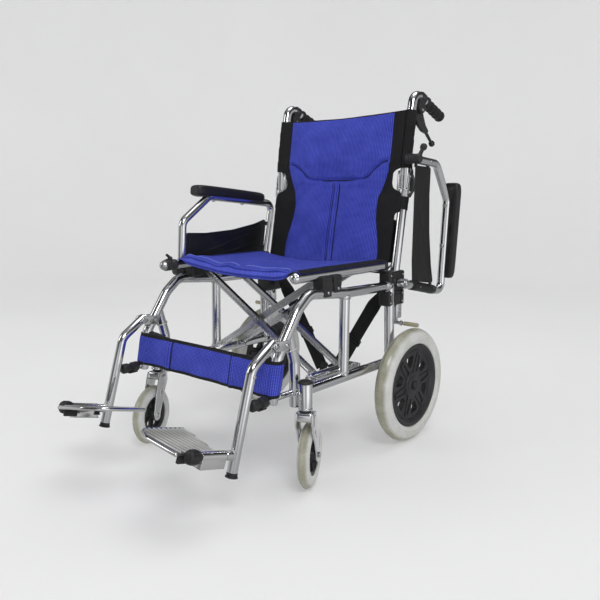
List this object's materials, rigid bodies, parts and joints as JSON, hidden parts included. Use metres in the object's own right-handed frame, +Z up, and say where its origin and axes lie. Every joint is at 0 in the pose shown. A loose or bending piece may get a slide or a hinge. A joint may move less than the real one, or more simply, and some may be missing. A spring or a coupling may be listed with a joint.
{
  "type": "transport wheelchair",
  "caption": "Attendant-pushed folding transport wheelchair with cross-brace frame, flip-back armrests, fold-down back, flip-up footplates and blue mesh upholstery.",
  "frame": {"origin": "middle of the chair's bounding box, on the floor", "axes": "+X to the sitter's left, -Y the way the chair faces, +Z up"},
  "size_m": [0.577, 0.9601, 0.9167],
  "materials": {
    "frame_aluminium": "polished",
    "brace_aluminium": "satin extrusion",
    "footplate_aluminium": "ribbed, satin",
    "chromed_steel": "polished",
    "plain_steel": "zinc plated",
    "black_plastic": "moulded, satin",
    "grip_rubber": "moulded, ribbed",
    "armrest_foam": "self-skinned foam, fine grain",
    "tyre_grey": "smooth grey-white",
    "wheel_plastic": "moulded",
    "blue_mesh": "spacer mesh",
    "black_nylon": "woven"
  },
  "bodies": {
    "frame_right": {"side_frame_right": "frame_aluminium", "back_post_right": "frame_aluminium", "back_clamp_right": "black_plastic", "seat_saddle_right": "black_plastic", "back_hinge_right": "chromed_steel", "rear_axle_right": "plain_steel"},
    "frame_left": {"side_frame_left": "frame_aluminium", "back_post_left": "frame_aluminium", "back_clamp_left": "black_plastic", "seat_saddle_left": "black_plastic", "back_hinge_left": "chromed_steel", "rear_axle_left": "plain_steel"},
    "cross_a": {"seat_rail_left": "brace_aluminium", "cross_bolt_front": "plain_steel", "cross_bolt_rear": "plain_steel"},
    "cross_b": {"seat_rail_right": "brace_aluminium"},
    "seat_sling_right": {"seat_right": "blue_mesh"},
    "back_lower_sling_right": {"back_lower_right": "blue_mesh"},
    "calf_sling_right": {"calf_strap_right": "blue_mesh"},
    "belt_right": {"lap_belt_right": "black_nylon"},
    "hanger_right": {"legrest_hanger_right": "frame_aluminium"},
    "foot_right": {"footplate_right": "footplate_aluminium"},
    "back_upper_right": {"upper_post_right": "frame_aluminium", "handle_grip_right": "grip_rubber", "brake_mount_right": "black_plastic"},
    "back_upper_sling_right": {"back_upper_right": "blue_mesh"},
    "brake_hand_right": {"brake_lever_right": "black_plastic"},
    "brake_right": {"brake_shoe_right": "plain_steel"},
    "back_release_right": {"release_lever_right": "black_plastic"},
    "rear_wheel_right": {"rear_rim_right": "wheel_plastic", "rear_tyre_right": "tyre_grey"},
    "castor_yoke_right": {"castor_fork_right": "chromed_steel"},
    "castor_wheel_right": {"castor_hub_right": "wheel_plastic", "castor_tyre_right": "tyre_grey"},
    "armrest_right": {"armrest_tube_right": "frame_aluminium", "armrest_pad_right": "armrest_foam", "armrest_panel_right": "black_nylon"},
    "armrest_lock_right": {"armrest_latch_right": "black_plastic"},
    "seat_sling_left": {"seat_left": "blue_mesh"},
    "back_lower_sling_left": {"back_lower_left": "blue_mesh"},
    "calf_sling_left": {"calf_strap_left": "blue_mesh"},
    "belt_left": {"lap_belt_left": "black_nylon"},
    "hanger_left": {"legrest_hanger_left": "frame_aluminium"},
    "foot_left": {"footplate_left": "footplate_aluminium"},
    "back_upper_left": {"upper_post_left": "frame_aluminium", "handle_grip_left": "grip_rubber", "brake_mount_left": "black_plastic"},
    "back_upper_sling_left": {"back_upper_left": "blue_mesh"},
    "brake_hand_left": {"brake_lever_left": "black_plastic"},
    "brake_left": {"brake_shoe_left": "plain_steel"},
    "back_release_left": {"release_lever_left": "black_plastic"},
    "rear_wheel_left": {"rear_rim_left": "wheel_plastic", "rear_tyre_left": "tyre_grey"},
    "castor_yoke_left": {"castor_fork_left": "chromed_steel"},
    "castor_wheel_left": {"castor_hub_left": "wheel_plastic", "castor_tyre_left": "tyre_grey"},
    "armrest_left": {"armrest_tube_left": "frame_aluminium", "armrest_pad_left": "armrest_foam", "armrest_panel_left": "black_nylon"},
    "armrest_lock_left": {"armrest_latch_left": "black_plastic"}
  },
  "joints": [
    {"name": "fold", "type": "hinge", "parent": "frame_right", "child": "cross_a", "pos_m": [-0.19, 0.005, 0.225], "axis": [0, -1, 0], "range_deg": [0, 44.1]},
    {"name": "cross_pivot", "type": "hinge", "parent": "cross_a", "child": "cross_b", "pos_m": [0, 0.005, 0.33871], "axis": [0, 1, 0], "range_deg": [0, 88.3]},
    {"name": "left_frame_pivot", "type": "hinge", "parent": "cross_b", "child": "frame_left", "pos_m": [0.19, 0.005, 0.225], "axis": [0, -1, 0], "range_deg": [0, 44.2]},
    {"name": "seat_right_hinge", "type": "hinge", "parent": "cross_b", "child": "seat_sling_right", "pos_m": [-0.215, 0.0025, 0.46739], "axis": [0, 1, 0], "range_deg": [0, 25.1]},
    {"name": "back_lower_right_hinge", "type": "hinge", "parent": "frame_right", "child": "back_lower_sling_right", "pos_m": [-0.215, 0.255, 0.5225], "axis": [0, 0.1799, 0.9837], "range_deg": [0, 67.6]},
    {"name": "calf_strap_right_hinge", "type": "hinge", "parent": "frame_right", "child": "calf_sling_right", "pos_m": [-0.222, -0.2285, 0.265], "axis": [0, 0.209, 0.9779], "range_deg": [0, 67.6]},
    {"name": "lap_belt_right_hinge", "type": "hinge", "parent": "frame_right", "child": "belt_right", "pos_m": [-0.197, 0.243, 0.38], "axis": [0, 1, 0], "range_deg": [0, 28.4]},
    {"name": "legrest_swing_right", "type": "hinge", "parent": "frame_right", "child": "hanger_right", "pos_m": [-0.222, -0.237, 0.337], "axis": [-1, 0, 0], "range_deg": [0, 70]},
    {"name": "footplate_flip_right", "type": "hinge", "parent": "hanger_right", "child": "foot_right", "pos_m": [-0.222, -0.40661, 0.15132], "axis": [0, -0.9627, 0.2706], "range_deg": [0, 67.8]},
    {"name": "back_fold", "type": "hinge", "parent": "frame_right", "child": "back_upper_right", "pos_m": [-0.215, 0.302, 0.668], "axis": [1, 0, 0], "range_deg": [-120, 0]},
    {"name": "back_upper_right_hinge", "type": "hinge", "parent": "back_lower_sling_right", "child": "back_upper_sling_right", "pos_m": [-0.215, 0.302, 0.668], "axis": [1, 0, 0], "range_deg": [-120.2, 0]},
    {"name": "brake_lever_squeeze_right", "type": "hinge", "parent": "back_upper_right", "child": "brake_hand_right", "pos_m": [-0.2155, 0.34, 0.8615], "axis": [1, 0, 0], "range_deg": [0, 15]},
    {"name": "brake_shoe_slide_right", "type": "slide", "parent": "frame_right", "child": "brake_right", "axis": [0, 0, -1], "range_m": [0, 0.005]},
    {"name": "back_release_right", "type": "hinge", "parent": "back_upper_right", "child": "back_release_right", "pos_m": [-0.215, 0.3025, 0.706], "axis": [-1, 0, 0], "range_deg": [0, 25]},
    {"name": "rear_wheel_spin_right", "type": "hinge", "parent": "frame_right", "child": "rear_wheel_right", "pos_m": [-0.259, 0.255, 0.15], "axis": [1, 0, 0], "continuous": true},
    {"name": "castor_swivel_right", "type": "hinge", "parent": "frame_right", "child": "castor_yoke_right", "pos_m": [-0.256, -0.169, 0.178], "axis": [0, 0, 1], "continuous": true},
    {"name": "castor_spin_right", "type": "hinge", "parent": "castor_yoke_right", "child": "castor_wheel_right", "pos_m": [-0.24489, -0.20219, 0.076], "axis": [-0.9483, -0.3173, 0], "continuous": true},
    {"name": "armrest_flip_right", "type": "hinge", "parent": "frame_right", "child": "armrest_right", "pos_m": [-0.2475, 0.229, 0.42], "axis": [-1, 0, 0], "range_deg": [0, 90]},
    {"name": "armrest_latch_turn_right", "type": "hinge", "parent": "armrest_right", "child": "armrest_lock_right", "pos_m": [-0.2475, -0.084, 0.443], "axis": [-1, 0, 0], "range_deg": [0, 30]},
    {"name": "seat_left_hinge", "type": "hinge", "parent": "cross_a", "child": "seat_sling_left", "pos_m": [0.215, 0.0025, 0.46739], "axis": [0, -1, 0], "range_deg": [0, 25.1]},
    {"name": "back_lower_left_hinge", "type": "hinge", "parent": "frame_left", "child": "back_lower_sling_left", "pos_m": [0.215, 0.255, 0.5225], "axis": [0, -0.1799, -0.9837], "range_deg": [0, 67.6]},
    {"name": "calf_strap_left_hinge", "type": "hinge", "parent": "frame_left", "child": "calf_sling_left", "pos_m": [0.222, -0.2285, 0.265], "axis": [0, -0.209, -0.9779], "range_deg": [0, 67.6]},
    {"name": "lap_belt_left_hinge", "type": "hinge", "parent": "frame_left", "child": "belt_left", "pos_m": [0.197, 0.243, 0.38], "axis": [0, -1, 0], "range_deg": [0, 28.4]},
    {"name": "legrest_swing_left", "type": "hinge", "parent": "frame_left", "child": "hanger_left", "pos_m": [0.222, -0.237, 0.337], "axis": [-1, 0, 0], "range_deg": [0, 70]},
    {"name": "footplate_flip_left", "type": "hinge", "parent": "hanger_left", "child": "foot_left", "pos_m": [0.222, -0.40661, 0.15132], "axis": [0, 0.9627, -0.2706], "range_deg": [0, 72.2]},
    {"name": "back_fold_left", "type": "hinge", "parent": "frame_left", "child": "back_upper_left", "pos_m": [0.215, 0.302, 0.668], "axis": [1, 0, 0], "range_deg": [-120.2, 0]},
    {"name": "back_upper_left_hinge", "type": "hinge", "parent": "back_lower_sling_left", "child": "back_upper_sling_left", "pos_m": [0.215, 0.302, 0.668], "axis": [1, 0, 0], "range_deg": [-120.2, 0]},
    {"name": "brake_lever_squeeze_left", "type": "hinge", "parent": "back_upper_left", "child": "brake_hand_left", "pos_m": [0.2155, 0.34, 0.8615], "axis": [1, 0, 0], "range_deg": [0, 15]},
    {"name": "brake_shoe_slide_left", "type": "slide", "parent": "frame_left", "child": "brake_left", "axis": [0, 0, -1], "range_m": [0, 0.005]},
    {"name": "back_release_left", "type": "hinge", "parent": "back_upper_left", "child": "back_release_left", "pos_m": [0.215, 0.3025, 0.706], "axis": [-1, 0, 0], "range_deg": [0, 25]},
    {"name": "rear_wheel_spin_left", "type": "hinge", "parent": "frame_left", "child": "rear_wheel_left", "pos_m": [0.259, 0.255, 0.15], "axis": [1, 0, 0], "continuous": true},
    {"name": "castor_swivel_left", "type": "hinge", "parent": "frame_left", "child": "castor_yoke_left", "pos_m": [0.256, -0.169, 0.178], "axis": [0, 0, 1], "continuous": true},
    {"name": "castor_spin_left", "type": "hinge", "parent": "castor_yoke_left", "child": "castor_wheel_left", "pos_m": [0.24121, -0.13728, 0.076], "axis": [0.9063, 0.4226, 0], "continuous": true},
    {"name": "armrest_flip_left", "type": "hinge", "parent": "frame_left", "child": "armrest_left", "pos_m": [0.2475, 0.229, 0.42], "axis": [-1, 0, 0], "range_deg": [-90, 0]},
    {"name": "armrest_latch_turn_left", "type": "hinge", "parent": "armrest_left", "child": "armrest_lock_left", "pos_m": [0.2475, 0.252, 0.733], "axis": [-1, 0, 0], "range_deg": [0, 30]}
  ],
  "couplings": [
    {"joint": "cross_pivot", "follows": "fold", "ratio": 2},
    {"joint": "left_frame_pivot", "follows": "fold", "ratio": 1},
    {"joint": "seat_right_hinge", "follows": "fold", "ratio": 0.567},
    {"joint": "back_lower_right_hinge", "follows": "fold", "ratio": 1.53},
    {"joint": "calf_strap_right_hinge", "follows": "fold", "ratio": 1.53},
    {"joint": "lap_belt_right_hinge", "follows": "fold", "ratio": 0.64},
    {"joint": "footplate_flip_right", "follows": "fold", "ratio": 1.53},
    {"joint": "back_upper_right_hinge", "follows": "back_fold", "ratio": 1},
    {"joint": "brake_shoe_slide_right", "follows": "brake_lever_squeeze_right", "m_per_rad": 0.019},
    {"joint": "seat_left_hinge", "follows": "fold", "ratio": 0.567},
    {"joint": "back_lower_left_hinge", "follows": "fold", "ratio": 1.53},
    {"joint": "calf_strap_left_hinge", "follows": "fold", "ratio": 1.53},
    {"joint": "lap_belt_left_hinge", "follows": "fold", "ratio": 0.64},
    {"joint": "footplate_flip_left", "follows": "fold", "ratio": 1.63},
    {"joint": "back_fold_left", "follows": "back_fold", "ratio": 1},
    {"joint": "back_upper_left_hinge", "follows": "back_fold", "ratio": 1},
    {"joint": "brake_shoe_slide_left", "follows": "brake_lever_squeeze_left", "m_per_rad": 0.019}
  ]
}
